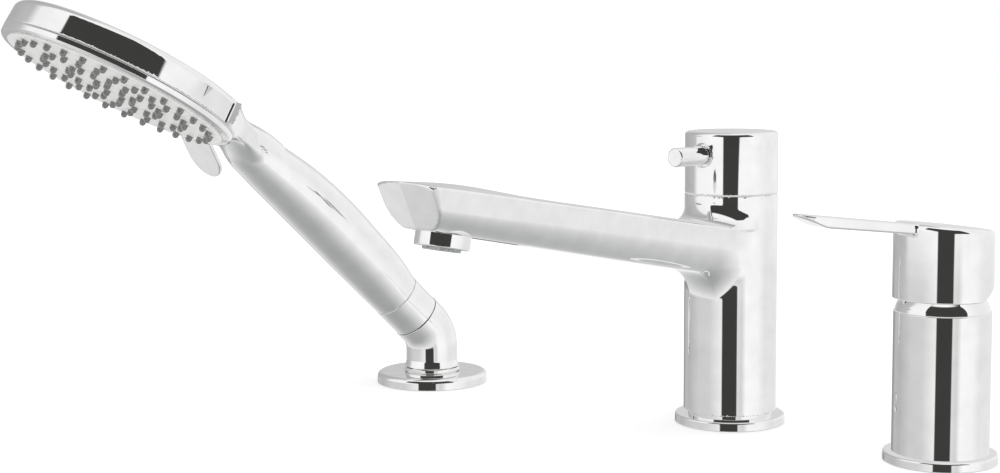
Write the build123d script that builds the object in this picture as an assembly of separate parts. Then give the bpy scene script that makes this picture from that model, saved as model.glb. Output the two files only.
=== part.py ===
from build123d import *
import os

# Three-piece bath filler that stands on a deck: a hand shower in a holder, a fixed spout with a
# diverter knob, and a single-lever mixer.
# Frame: millimetres, +Z up, origin on the deck top at the axis of the spout column.
# The spout points along -Y over the bath. The mixer stands on +X and the hand shower on -X.

# Where the units stand
mixer_x = 121.0
mixer_y = 0.0
shower_x = -185.4
shower_y = -33.0
holder_turn = 11.3

# Deck fixing, shared by the three units
deck_thickness = 20.0
shank_wall = 2.5
shank_below_deck = 62.0
shank_end_length = 22.0
shank_end_step = 0.6
rubber_washer_height = 3.0
steel_washer_height = 2.0
locknut_height = 9.0
washer_rim = 9.0
locknut_rim = 6.5
thread_clearance = 0.15
seat_gap = 0.3
gasket_height = 1.2
gasket_inset = 3.0
gasket_wall = 4.0
gasket_clearance = 0.2

# Spout column
column_radius = 23.0
spout_flange_radius = 27.3
spout_flange_height = 4.5
spout_flange_edge = 1.0
plinth_radius = 20.8
plinth_height = 2.0
knob_seam_z = 115.0
knob_gap = 0.5
knob_top_z = 145.7
knob_edge = 2.0
spout_shank_radius = 13.0
spout_shank_socket = 22.0
column_waterway_radius = 8.0
diverter_pocket_z = 76.0
pocket_clearance = 0.4

# Spout arm
arm_side_depth = 9.0
arm_side_draft = 1.6
arm_belly_half = 8.0
arm_edge_z_root = 96.4
arm_rise_angle = 9.6
nose_reach = 217.4
nose_setback = 1.8
nose_rake = 24.0
arm_channel_radius = 5.5
arm_root_fillet = 9.0
aerator_reach = 194.0
aerator_radius = 12.0
aerator_height = 6.0
aerator_edge = 0.6
aerator_thread_radius = 10.4
aerator_thread_height = 7.0
insert_radius = 8.3
insert_drop = 1.3
insert_height = 11.0
insert_wall = 1.4
insert_recess = 2.5
aerator_gasket_height = 1.5
seat_face_gap = 0.2

# Cross-sections of the spout arm: reach from the column axis, half width, crown, depth
arm_sections = [(6.0, 19.5, 1.7, 23.6), (90.0, 19.3, 1.7, 21.6), (150.0, 19.1, 1.9, 19.9), (190.0, 18.9, 2.9, 18.8),
                (227.0, 18.8, 0.1, 17.6)]

# Diverter
diverter_seal_height = 1.5
cartridge_radius = 14.6
cartridge_height = 28.5
cartridge_inlet_radius = 4.5
cartridge_inlet_depth = 5.0
cartridge_port_width = 8.0
cartridge_port_height = 6.0
cartridge_port_depth = 5.0
diverter_nut_height = 7.0
diverter_nut_bore_gap = 1.5
diverter_stem_radius = 4.0
diverter_stem_seat = 10.0
diverter_stem_cover = 6.7
knob_wall = 3.0
knob_boss_radius = 8.0
knob_boss_foot = 1.0
pin_radius = 4.7
pin_z = 134.6
pin_reach = 43.5
pin_edge = 0.8
pin_seat_depth = 1.6
pin_collar = 0.9
pin_socket_depth = 1.0
pin_tail_length = 6.0
grub_radius = 2.0
grub_length = 4.0

# Mixer
mixer_flange_radius = 25.7
mixer_flange_height = 4.3
mixer_body_radius = 21.85
mixer_body_top_z = 68.8
mixer_body_wall = 3.0
mixer_floor = 5.0
mixer_shank_radius = 16.0
mixer_shank_socket = 18.0
valve_gap = 0.4
valve_height = 46.7
valve_base_height = 12.0
valve_wall = 1.2
ceramic_height = 27.8
ceramic_step = 1.6
ceramic_neck_height = 6.0
mixer_nut_height = 5.0
dome_height = 9.0
dome_foot_inset = 0.55
dome_head_radius = 16.5
dome_spigot_height = 4.0
cap_radius = 22.45
cap_bottom_z = 74.6
cap_back_z = 105.0
cap_front_z = 110.0
cap_edge = 2.5
cap_side_height = 10.0
cap_wall = 3.2
cap_roof = 5.4
cap_boss_radius = 8.0
cap_boss_height = 16.0
cap_bevel_height = 9.0
cap_bevel_depth = 17.0
lever_pivot_z = 64.0
lever_pivot_radius = 1.5
lever_stem_side = 8.0
lever_stem_cover = 8.2
hub_radius = 11.5
hub_seat_depth = 6.0
hub_wall_below_slot = 2.0
hub_slot_clearance = 0.2
lever_turn = -19.0
lever_tip_reach = 80.6
lever_tip_z = 116.5
lever_tip_half = 7.0
lever_root_half = 7.0
lever_tip_thickness = 3.3
lever_root_thickness = 4.7
lever_tip_edge = 6.8
index_radius = 2.6
index_height = 1.8
index_z = 91.6
mixer_inlet_radius = 5.0
mixer_inlet_wall = 1.2
mixer_inlet_spacing = 14.0
mixer_inlet_seat = 10.0
mixer_inlet_below_deck = 61.7

# Hand shower holder
shower_flange_radius = 30.5
shower_flange_height = 6.2
shower_flange_edge = 2.5
collar_radius = 15.3
collar_height = 1.8
collar_groove_height = 0.6
collar_groove_depth = 1.6
swivel_gap = 0.3
elbow_radius = 14.3
elbow_flare = 0.5
elbow_flare_height = 4.0
elbow_bend_z = 19.3
elbow_bend_radius = 20.0
elbow_run = 6.2
elbow_angle = 45.0
elbow_hose_radius = 9.3
shower_shank_radius = 11.0
spigot_top_z = 17.0
spigot_clearance = 0.08
socket_mouth_radius = 11.0
socket_floor_radius = 9.6
socket_depth = 15.0
socket_clearance = 0.3

# Handset
cone_bore_radius = 4.0
cone_rest_gap = 0.6
cone_nut_length = 17.0
cone_nut_radius = 13.8
washer_recess = 9.0
inlet_washer_height = 1.5
handle_joint_gap = 0.4
handle_end_gap = 12.8
handle_wall = 2.2
waterway_radius = 7.0
waterway_wall = 1.5
waterway_clearance = 0.3
washer_clearance = 0.1
bulkhead_setback = 18.0
passage_radius = 3.0
face_reach = 212.8
face_drop = 29.6
face_tilt = 15.6
ring_height = 3.5
ring_radius = 62.0
ring_foot_inset = 1.4
ring_width = 4.0
shoulder_inset = 0.6
shoulder_height = 17.0
shoulder_edge = 2.6
crown_height = 23.5
head_wall = 2.4
seam_gap = 0.35
web_angle = 35.0
web_height = 16.0
web_seam = 1.4
web_end_beyond = 14.0
web_end_half = 13.0
web_edge = 2.5
spray_plate_proud = 0.6
spray_plate_gap = 0.1
spray_plate_thickness = 2.4
nozzle_hole_radius = 1.9
nozzle_radius = 1.7
nozzle_drop = 3.1
nozzle_sheet_thickness = 1.6
carrier_gap = 2.2
carrier_thickness = 2.5
carrier_port_radius = 4.0
carrier_port_ring = 30.0
carrier_port_count = 6
pivot_radius = 5.0
pivot_boss_radius = 7.6
pivot_depth = 5.0
running_clearance = 0.08
selector_azimuth = 15.0
selector_half_width = 12.4
selector_tip_half = 12.4
selector_root_depth = 3.7
selector_length = 23.5
selector_root_z = 1.3
selector_drop_angle = 30.0
selector_thickness = 2.2

# Nozzle rings on the spray face: share of the plate's radius, number and angle of the first one
nozzle_ring_shares = [0.1813, 0.4231, 0.6563, 0.8895]
nozzle_ring_counts = [8, 18, 24, 30]
nozzle_ring_angles = [0.0, 10.0, 7.5, 6.0]

parts = {}
LOW = (Align.CENTER, Align.CENTER, Align.MIN)


def disc(radius, bottom, height, x=0.0, y=0.0):
    """Solid cylinder on a vertical axis at (x, y), from bottom upwards."""
    return Pos(x, y, bottom) * Cylinder(radius, height, align=LOW)


def drill(radius, bottom, top, x=0.0, y=0.0):
    """Cylinder between two heights, for a hole or a pocket."""
    return disc(radius, bottom, top - bottom, x, y)


def tube(outer, inner, bottom, height, x=0.0, y=0.0):
    """Ring or sleeve on a vertical axis."""
    return disc(outer, bottom, height, x, y) - disc(inner, bottom - 1, height + 2, x, y)


def turned(points, x=0.0, y=0.0):
    """Solid of revolution about a vertical axis at (x, y) from (radius, z) points."""
    profile = make_face(Plane.XZ * Polyline(*points, close=True))
    return Pos(x, y, 0) * revolve(profile, axis=Axis.Z)


def rim_edges(solid, z, radius):
    """Full circles of the given radius at height z."""
    found = [e for e in solid.edges().filter_by(GeomType.CIRCLE)
             if abs(e.center().Z - z) < 0.01 and abs(e.radius - radius) < 0.01]
    return ShapeList(found)


def hexagon_nut(radius, bore, bottom, height, x=0.0, y=0.0):
    """Six-sided nut with the flats at the given radius."""
    face = RegularPolygon(radius, 6, major_radius=False)
    nut = Pos(x, y, bottom) * extrude(face, height)
    return nut - disc(bore, bottom - 1, height + 2, x, y)


def deck_fixing(name, shank_radius, shank_top, x, y):
    """Threaded shank through the deck, with the washers and the nut that clamp it from below."""
    bore = shank_radius - shank_wall
    end_z = shank_end_length - shank_below_deck
    shank = tube(shank_radius, bore, end_z, shank_top - end_z, x, y)
    shank += tube(shank_radius - shank_end_step, bore, -shank_below_deck, shank_end_length, x, y)
    parts[name + "_shank"] = shank
    hole = shank_radius + thread_clearance
    rubber_z = -deck_thickness - rubber_washer_height
    steel_z = rubber_z - steel_washer_height
    nut_z = steel_z - locknut_height
    rim = shank_radius + washer_rim
    parts[name + "_rubber_washer"] = tube(rim, hole, rubber_z, rubber_washer_height, x, y)
    parts[name + "_steel_washer"] = tube(rim, hole, steel_z, steel_washer_height, x, y)
    parts[name + "_locknut"] = hexagon_nut(shank_radius + locknut_rim, hole, nut_z, locknut_height, x, y)


def flange_and_gasket(name, radius, height, edge, bore, x, y):
    """Round flange on the deck, with a flat gasket in a groove of its underside."""
    flange = tube(radius, bore, 0, height, x, y)
    flange = fillet(rim_edges(flange, height, radius), edge)
    outer = radius - gasket_inset
    inner = outer - gasket_wall
    groove = tube(outer + gasket_clearance, inner - gasket_clearance, -1, 1 + gasket_height, x, y)
    parts[name + "_flange"] = flange - groove
    parts[name + "_gasket"] = tube(outer, inner, 0, gasket_height, x, y)


# Spout unit

spout_seat_z = spout_flange_height + plinth_height
diverter_base_z = diverter_pocket_z + diverter_seal_height
cartridge_top_z = diverter_base_z + cartridge_height
diverter_stem_top_z = knob_top_z - diverter_stem_cover
arm_slope = Vector(0, -1, 0).rotate(Axis.X, -arm_rise_angle)


def arm_edge_z(reach):
    """Height of the arm's top edges at a distance from the column axis."""
    return arm_edge_z_root + reach * (arm_slope.Z / -arm_slope.Y)


def arm_depth(reach):
    """Depth of the arm below its top edges, between the sections on either side."""
    near, far = [pair for pair in zip(arm_sections, arm_sections[1:]) if pair[0][0] <= reach][-1]
    share = (reach - near[0]) / (far[0] - near[0])
    return near[3] + (far[3] - near[3]) * share


def arm_section(reach, half, crown, depth):
    """Upright cross-section of the arm: crowned top, drafted sides, rounded belly."""
    side = half - arm_side_draft
    with BuildSketch(Plane((0, -reach, arm_edge_z(reach)), x_dir=(1, 0, 0), z_dir=(0, -1, 0))) as sketch:
        with BuildLine():
            ThreePointArc((-half, 0), (0, crown), (half, 0))
            Line((half, 0), (side, -arm_side_depth))
            Spline((side, -arm_side_depth), (arm_belly_half, -depth),
                   tangents=[(-arm_side_draft, -arm_side_depth), (-1, -0.16)])
            Line((arm_belly_half, -depth), (-arm_belly_half, -depth))
            Spline((-arm_belly_half, -depth), (-side, -arm_side_depth),
                   tangents=[(-1, 0.16), (-arm_side_draft, arm_side_depth)])
            Line((-side, -arm_side_depth), (-half, 0))
        make_face()
    return sketch.sketch


def nose_cutter():
    """Prism that leaves the raked nose with its slight crease in the middle."""
    half = arm_sections[-1][1]
    wide = 3 * half
    back = -nose_reach + nose_setback * wide / half
    outline = Polyline((-wide, wide), (-wide, back), (0, -nose_reach), (wide, back), (wide, wide), close=True)
    crown_z = arm_edge_z(nose_reach) + arm_sections[-1][2]
    face = Pos(0, 0, crown_z) * make_face(outline)
    rake = Vector(0, 0, -1).rotate(Axis.X, nose_rake)
    return extrude(face, crown_z, dir=rake) + extrude(face, wide, dir=-rake)


def aerator_frame():
    """Frame on the underside of the arm, with Z up along the aerator's axis."""
    z = arm_edge_z(aerator_reach) - arm_depth(aerator_reach)
    far_z = arm_edge_z(aerator_reach + 1) - arm_depth(aerator_reach + 1)
    slope = Vector(0, -1, far_z - z)
    return Plane((0, -aerator_reach, z), x_dir=(1, 0, 0), z_dir=slope.cross(Vector(1, 0, 0)))


def make_spout_body():
    """Column and arm, cast in one piece, with the pockets and the waterway inside."""
    column = drill(column_radius, spout_seat_z, knob_seam_z)
    arm = loft([arm_section(*sizes) for sizes in arm_sections])
    body = column + (arm & nose_cutter())
    top = arm_edge_z(column_radius) + arm_sections[0][2] + 2
    low = arm_edge_z(column_radius) - arm_sections[0][3] - 2
    root = [e for e in body.edges()
            if (e.center().X ** 2 + e.center().Y ** 2) ** 0.5 < column_radius + 0.5
            and e.center().Y < -0.3 * column_radius and low < e.center().Z < top]
    body = fillet(ShapeList(root), arm_root_fillet)
    waterway = drill(column_waterway_radius, 0, diverter_pocket_z + 1)
    pocket = drill(cartridge_radius + pocket_clearance, diverter_pocket_z, knob_seam_z + 1)
    socket = drill(spout_shank_radius + thread_clearance, 0, spout_seat_z + spout_shank_socket + thread_clearance)
    frame = aerator_frame()
    well_height = aerator_thread_height + aerator_gasket_height
    well = frame * drill(aerator_thread_radius + thread_clearance, -2, well_height)
    well += frame * drill(aerator_radius + seat_face_gap, -2, 0)
    run_end = frame.origin + frame.z_dir * (well_height - 0.5)
    run_start = Vector(0, 0, run_end.Z - aerator_reach * (arm_slope.Z / -arm_slope.Y))
    run = Plane(run_start, x_dir=(1, 0, 0), z_dir=run_end - run_start)
    length = (run_end - run_start).length + arm_channel_radius / 2
    channel = run * drill(arm_channel_radius, 0, length)
    return body - waterway - pocket - socket - channel - well


def make_aerator():
    """Threaded housing ring, flow insert and gasket under the nose of the arm."""
    frame = aerator_frame()
    ring = drill(aerator_radius, -aerator_height, 0)
    ring = fillet(rim_edges(ring, -aerator_height, aerator_radius), aerator_edge)
    thread = drill(aerator_thread_radius, 0, aerator_thread_height)
    bore = drill(insert_radius + gasket_clearance, -aerator_height - 1, aerator_thread_height + 1)
    parts["aerator_housing"] = frame * (ring + thread - bore)
    foot = -aerator_height - insert_drop
    insert = disc(insert_radius, foot, insert_height)
    insert -= drill(insert_radius - insert_wall, foot - 1, foot + insert_recess)
    parts["aerator_insert"] = frame * insert
    parts["aerator_gasket"] = frame * tube(aerator_thread_radius, arm_channel_radius, aerator_thread_height,
                                           aerator_gasket_height)


def make_diverter():
    """Two-way diverter cartridge on its seal, with its nut and stem."""
    base = diverter_base_z
    parts["diverter_seal"] = tube(cartridge_radius, column_waterway_radius, diverter_pocket_z, diverter_seal_height)
    stem_foot = base + diverter_stem_seat
    cartridge = drill(cartridge_radius, base, cartridge_top_z)
    cartridge -= drill(diverter_stem_radius + spigot_clearance, stem_foot, cartridge_top_z + 1)
    cartridge -= drill(cartridge_inlet_radius, base - 1, base + cartridge_inlet_depth)
    port = Box(cartridge_port_width, 2 * cartridge_port_depth, cartridge_port_height)
    for angle in (0, 180):
        cartridge -= Rot(0, 0, angle) * Pos(0, -cartridge_radius, stem_foot - cartridge_port_height / 2 - 1) * port
    parts["diverter_cartridge"] = cartridge
    parts["diverter_nut"] = tube(cartridge_radius, diverter_stem_radius + diverter_nut_bore_gap, cartridge_top_z,
                                 diverter_nut_height)
    parts["diverter_stem"] = drill(diverter_stem_radius, stem_foot + seat_gap, diverter_stem_top_z)


def make_knob():
    """Diverter knob with its pin and the grub screw behind the pin."""
    bottom = knob_seam_z + knob_gap
    roof = knob_top_z - knob_wall
    knob = drill(column_radius, bottom, knob_top_z)
    knob = fillet(rim_edges(knob, knob_top_z, column_radius), knob_edge)
    knob -= drill(column_radius - knob_wall, bottom - 1, roof)
    knob += drill(knob_boss_radius, bottom + knob_boss_foot, roof)
    knob -= drill(diverter_stem_radius + spigot_clearance, bottom - 1, diverter_stem_top_z + seat_gap)
    toward = Plane((0, 0, pin_z), x_dir=(1, 0, 0), z_dir=(0, -1, 0))
    seat = column_radius - pin_seat_depth
    pin_start = seat - pin_socket_depth
    knob -= toward * drill(pin_radius + pin_collar, seat, column_radius + 1)
    knob -= toward * drill(pin_radius + thread_clearance, pin_start, column_radius + 1)
    knob -= toward * drill(grub_radius + thread_clearance, diverter_stem_radius, column_radius)
    parts["diverter_knob"] = knob
    pin = toward * drill(pin_radius, pin_start, pin_reach)
    pin = fillet(pin.edges().filter_by(GeomType.CIRCLE).sort_by(Axis.Y)[0], pin_edge)
    parts["knob_pin"] = pin + toward * drill(grub_radius, pin_start - pin_tail_length, pin_start)
    grub_start = diverter_stem_radius + spigot_clearance
    parts["knob_grub_screw"] = toward * disc(grub_radius, grub_start, grub_length)


def make_spout_unit():
    hole = spout_shank_radius + thread_clearance
    flange_and_gasket("spout", spout_flange_radius, spout_flange_height, spout_flange_edge, hole, 0, 0)
    parts["spout_plinth_ring"] = tube(plinth_radius, hole, spout_flange_height, plinth_height)
    deck_fixing("spout", spout_shank_radius, spout_seat_z + spout_shank_socket, 0, 0)
    parts["spout_body"] = make_spout_body()
    make_aerator()
    make_diverter()
    make_knob()


# Mixer unit

mixer_at = Pos(mixer_x, mixer_y, 0)
lever_at = mixer_at * Rot(0, 0, lever_turn)
valve_radius = mixer_body_radius - mixer_body_wall - valve_gap
valve_floor_z = mixer_flange_height + mixer_floor
valve_top_z = valve_floor_z + valve_height
shank_top_z = mixer_flange_height + mixer_shank_socket
ceramic_radius = valve_radius - valve_wall - valve_gap
ceramic_base_z = shank_top_z + valve_base_height
ceramic_top_z = ceramic_base_z + ceramic_height
ceramic_neck_radius = ceramic_radius - ceramic_step
hub_base_z = valve_top_z - hub_seat_depth
hub_top_z = lever_pivot_z + hub_wall_below_slot + 4 * lever_pivot_radius


def make_mixer_body():
    """Outer sleeve on the flange, open at the top for the valve."""
    body = drill(mixer_body_radius, mixer_flange_height, mixer_body_top_z)
    body -= drill(mixer_body_radius - mixer_body_wall, valve_floor_z, mixer_body_top_z + 1)
    body -= drill(mixer_shank_radius + thread_clearance, 0, valve_floor_z + 1)
    return mixer_at * body


def make_valve():
    """Brass valve body with the ceramic cartridge, its clamping nut and the dome above."""
    valve = drill(valve_radius, valve_floor_z, valve_top_z)
    valve -= drill(ceramic_radius + valve_gap, ceramic_base_z, valve_top_z + 1)
    valve -= drill(mixer_shank_radius + thread_clearance, 0, shank_top_z + seat_gap)
    for side in (-1, 1):
        hole = drill(mixer_inlet_radius + thread_clearance, 0, ceramic_base_z + 1)
        valve -= Pos(side * mixer_inlet_spacing / 2, 0, 0) * hole
    parts["valve_body"] = mixer_at * valve
    ceramic = drill(ceramic_radius, ceramic_base_z, valve_top_z)
    ceramic += drill(ceramic_neck_radius, valve_top_z, ceramic_top_z)
    ceramic -= drill(hub_radius + spigot_clearance, hub_base_z - seat_gap, ceramic_top_z + 1)
    parts["ceramic_cartridge"] = mixer_at * ceramic
    nut = tube(valve_radius, ceramic_neck_radius + thread_clearance, valve_top_z, mixer_nut_height)
    parts["cartridge_nut"] = mixer_at * nut
    foot = mixer_body_top_z
    dome_foot = mixer_body_radius - dome_foot_inset
    rise = dome_height / 9.0
    dome = turned([(dome_head_radius, foot), (dome_foot, foot), (dome_foot - 0.9, foot + 3.2 * rise),
                   (dome_foot - 2.6, foot + 6.0 * rise), (dome_head_radius, foot + dome_height)])
    spigot = mixer_body_radius - mixer_body_wall - thread_clearance
    dome += tube(spigot, dome_head_radius, foot - dome_spigot_height, dome_spigot_height)
    parts["dome_ring"] = mixer_at * dome


def make_mixer_hub():
    """Part of the cartridge that turns with the lever and carries the lever's pivot."""
    slot_width = lever_stem_side + 2 * hub_slot_clearance
    slot_low = lever_pivot_z - lever_stem_side / 2 - hub_wall_below_slot
    hub = drill(hub_radius, hub_base_z, hub_top_z)
    hub -= Pos(0, 0, slot_low) * Box(slot_width, 2 * hub_radius + 2, hub_top_z, align=LOW)
    across = Pos(0, 0, lever_pivot_z) * Rot(0, 90, 0)
    length = 2 * hub_radius - 3
    hub -= across * Cylinder(lever_pivot_radius + gasket_clearance, length + seat_gap)
    parts["mixer_hub"] = lever_at * hub
    parts["lever_pivot_pin"] = lever_at * (across * Cylinder(lever_pivot_radius, length))


def cap_top_plane():
    """Sloping plane of the cap's top."""
    normal = Vector(0, cap_front_z - cap_back_z, 2 * cap_radius).normalized()
    return Plane((0, 0, (cap_front_z + cap_back_z) / 2), x_dir=(1, 0, 0), z_dir=normal)


def lever_blade():
    """Flat blade that runs from the cap's top out over the bath, with a rounded tip."""
    crown = (cap_front_z + cap_back_z) / 2
    tip_low = lever_tip_z - lever_tip_thickness
    side = Polyline((0, crown - 0.4), (-cap_radius / 3, crown + 0.3), (-lever_tip_reach, lever_tip_z),
                    (-lever_tip_reach + lever_tip_thickness / 3, tip_low),
                    (-cap_radius, cap_front_z - lever_root_thickness), (0, crown - lever_root_thickness), close=True)
    blade = extrude(Plane.YZ * make_face(side), cap_radius, both=True)
    root_y = -cap_radius / 2
    tip_y = -lever_tip_reach
    outline = make_face(Polyline((-lever_root_half, 1), (-lever_root_half, root_y), (-lever_tip_half, tip_y),
                                 (lever_tip_half, tip_y), (lever_root_half, root_y), (lever_root_half, 1), close=True))
    corners = outline.vertices().sort_by(Axis.Y)[:2]
    outline = fillet(corners, lever_tip_edge)
    return blade & extrude(outline, 2 * lever_tip_z)


def make_lever():
    """Cap and blade in one casting, with the square stem that works the cartridge."""
    crown = (cap_front_z + cap_back_z) / 2
    cap = drill(cap_radius, cap_bottom_z, 2 * cap_front_z)
    cap -= cap_top_plane() * Box(4 * cap_radius, 4 * cap_radius, 2 * cap_front_z, align=LOW)
    top_edges = [e for e in cap.edges() if e.center().Z > cap_bottom_z + cap_side_height and e.geom_type != GeomType.LINE]
    cap = fillet(ShapeList(top_edges), cap_edge)
    handle = cap + lever_blade()
    roof = crown - cap_roof
    handle -= drill(cap_radius - cap_wall, cap_bottom_z - 1, roof)
    handle += disc(cap_boss_radius, roof - cap_boss_height, cap_boss_height)
    hole = lever_stem_side + 2 * thread_clearance
    stem_top = crown - lever_stem_cover
    handle -= Pos(0, 0, stem_top + seat_gap - cap_front_z) * Box(hole, hole, cap_front_z, align=LOW)
    bevel = make_face(Polyline((cap_radius + 1, cap_bottom_z - 1), (cap_radius - cap_bevel_depth, cap_bottom_z - 1),
                               (cap_radius - cap_bevel_depth, cap_bottom_z),
                               (cap_radius, cap_bottom_z + cap_bevel_height),
                               (cap_radius + 1, cap_bottom_z + cap_bevel_height), close=True))
    handle -= extrude(Plane.YZ * bevel, 2 * cap_radius, both=True)
    back = Plane((0, 0, index_z), x_dir=(1, 0, 0), z_dir=(0, 1, 0))
    plug_seat = cap_radius - cap_wall / 2
    handle -= back * drill(grub_radius + thread_clearance, lever_stem_side / 2, cap_radius)
    handle -= back * drill(index_radius + spigot_clearance, plug_seat, cap_radius + 1)
    parts["lever_cap"] = lever_at * handle
    stem_low = lever_pivot_z - lever_stem_side / 2
    stem = Pos(0, 0, stem_low) * Box(lever_stem_side, lever_stem_side, stem_top - stem_low, align=LOW)
    bore = Pos(0, 0, lever_pivot_z) * Rot(0, 90, 0)
    stem -= bore * Cylinder(lever_pivot_radius + spigot_clearance, 2 * lever_stem_side)
    parts["lever_stem"] = lever_at * stem
    screw = back * disc(grub_radius, lever_stem_side / 2 + spigot_clearance, cap_boss_radius - lever_stem_side / 2 + 2)
    parts["lever_grub_screw"] = lever_at * screw
    parts["index_plug"] = lever_at * (back * disc(index_radius, plug_seat, index_height))


def make_inlet_tails():
    """Two straight copper tails for the hot and the cold supply."""
    top = shank_top_z + mixer_inlet_seat
    length = top + shank_below_deck + mixer_inlet_below_deck
    tail = tube(mixer_inlet_radius, mixer_inlet_radius - mixer_inlet_wall, top - length, length)
    return Compound([mixer_at * Pos(side * mixer_inlet_spacing / 2, 0, 0) * tail for side in (-1, 1)])


def make_mixer_unit():
    hole = mixer_shank_radius + thread_clearance
    flange_and_gasket("mixer", mixer_flange_radius, mixer_flange_height, spout_flange_edge, hole, mixer_x, mixer_y)
    deck_fixing("mixer", mixer_shank_radius, shank_top_z, mixer_x, mixer_y)
    parts["mixer_body"] = make_mixer_body()
    make_valve()
    make_mixer_hub()
    make_lever()
    parts["inlet_tails"] = make_inlet_tails()


# Hand shower unit

holder = Location((shower_x, shower_y, 0), (0, 0, -holder_turn))
handle_direction = Vector(0, 0, 1).rotate(Axis.X, elbow_angle)
mouth_y = -elbow_bend_radius * (1 - handle_direction.Z) + handle_direction.Y * elbow_run
mouth_z = elbow_bend_z - elbow_bend_radius * handle_direction.Y + handle_direction.Z * elbow_run
handle_frame = Plane((0, mouth_y, mouth_z), x_dir=(1, 0, 0), z_dir=handle_direction)


def elbow_solid(radius, start):
    """Round bar that runs up, bends and runs on along the handle's axis."""
    upright = drill(radius, start, elbow_bend_z)
    ring = Pos(0, 0, elbow_bend_z) * Circle(radius)
    bend = revolve(ring, axis=Axis((0, -elbow_bend_radius, elbow_bend_z), (1, 0, 0)), revolution_arc=elbow_angle)
    run = handle_frame * drill(radius, -elbow_run, 0)
    return upright + bend + run


def make_holder():
    """Flange, collar and elbow that hold the handset and let its hose through."""
    hole = shower_shank_radius + thread_clearance
    flange_and_gasket("shower", shower_flange_radius, shower_flange_height, shower_flange_edge, hole,
                      shower_x, shower_y)
    deck_fixing("shower", shower_shank_radius, spigot_top_z, shower_x, shower_y)
    top = shower_flange_height
    collar = tube(collar_radius, hole, top + collar_groove_height, collar_height, shower_x, shower_y)
    collar += tube(collar_radius - collar_groove_depth, hole, top, collar_groove_height, shower_x, shower_y)
    parts["holder_collar"] = collar
    bottom = top + collar_groove_height + collar_height + swivel_gap
    elbow = elbow_solid(elbow_radius, bottom)
    elbow += turned([(0, bottom), (elbow_radius + elbow_flare, bottom),
                     (elbow_radius, bottom + elbow_flare_height), (0, bottom + elbow_flare_height)])
    elbow -= drill(shower_shank_radius + spigot_clearance, bottom - 1, spigot_top_z + seat_gap)
    elbow -= elbow_solid(elbow_hose_radius, bottom - 5)
    mouth = Cone(socket_floor_radius + socket_clearance, socket_mouth_radius + socket_clearance, socket_depth, align=LOW)
    elbow -= handle_frame * Pos(0, 0, -socket_depth) * mouth
    elbow -= handle_frame * drill(socket_mouth_radius + socket_clearance, 0, 1)
    parts["holder_elbow"] = holder * elbow


# Handset, in the frame of the handle: Z along the handle from the holder's mouth, Y to its upper side

handle_start = cone_rest_gap + cone_nut_length + handle_joint_gap
recess_z = cone_rest_gap + cone_nut_length - washer_recess

handle_length = face_reach - ring_radius - handle_end_gap
bulkhead_z = handle_start + handle_length - bulkhead_setback
shoulder_radius = ring_radius - shoulder_inset
web_end_reach = ring_radius + web_end_beyond

# Sections of the handle: share of its length, half width, half height, rise above the axis
handle_stations = [(0.0, 13.8, 13.8, 0.0), (0.0725, 14.5, 14.8, 0.9), (0.2609, 15.8, 15.9, 1.6),
                   (0.4493, 16.2, 16.2, 1.9), (0.6377, 15.8, 15.2, 0.8), (0.8116, 14.6, 12.9, -1.4),
                   (0.913, 13.4, 11.2, -2.2), (1.0, 12.2, 6.4, -1.6)]


def handle_loft(inset, low):
    """Handle body through its sections, drawn in by a wall, with its first section at low."""
    sections = []
    for share, half_x, half_y, rise in handle_stations:
        place = Pos(0, rise, handle_start + share * handle_length if share else low)
        sections.append(place * Ellipse(half_x - inset, half_y - inset))
    return loft(sections)


def head_frame():
    """Frame at the middle of the spray face, Z from the face to the back, Y towards the handle."""
    up = Vector(0, 1, 0).rotate(Axis.X, face_tilt)
    return Plane((0, -face_drop, face_reach), x_dir=(1, 0, 0), z_dir=up)


head = head_frame()


def head_solid(inset, low):
    """Body of revolution of the head, drawn in by a wall, from a height above the face."""
    rim = shoulder_radius - inset
    shoulder = shoulder_height - inset
    crown = crown_height - inset
    rise = crown - shoulder
    sphere = (rim ** 2 + rise ** 2) / (2 * rise)
    middle = crown - sphere + (sphere ** 2 - (rim / 2) ** 2) ** 0.5
    outline = Line((0, low), (ring_radius - inset, low)) + Line((ring_radius - inset, low), (rim, shoulder))
    outline += ThreePointArc((rim, shoulder), (rim / 2, middle), (0, crown))
    outline += Line((0, crown), (0, low))
    body = revolve(make_face(Plane.XZ * outline), axis=Axis.Z)
    return fillet(rim_edges(body, shoulder, rim), max(shoulder_edge - inset, 0.2))


def neck_web():
    """Web between the head's wall and the handle, with hollow flanks that leave the wall tangent."""
    web_angle_x = Vector(0, ring_radius).rotate(Axis.Z, -web_angle)
    away = Vector(-ring_radius, 0).rotate(Axis.Z, -web_angle)
    flank = TangentArc((web_angle_x.X, web_angle_x.Y), (web_end_half, web_end_reach), tangent=(away.X, away.Y))
    other = mirror(flank, Plane.YZ)
    outline = flank + Line((web_end_half, web_end_reach), (-web_end_half, web_end_reach)) + other
    outline += Line((-web_angle_x.X, web_angle_x.Y), (web_angle_x.X, web_angle_x.Y))
    low = ring_height + web_seam
    web = Pos(0, 0, low) * extrude(make_face(outline), web_height - low)
    edges = [e for e in web.edges() if abs(e.center().Z - web_height) < 0.01 and e.center().Y > web_angle_x.Y + 0.5]
    return head * fillet(ShapeList(edges), web_edge)


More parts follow.
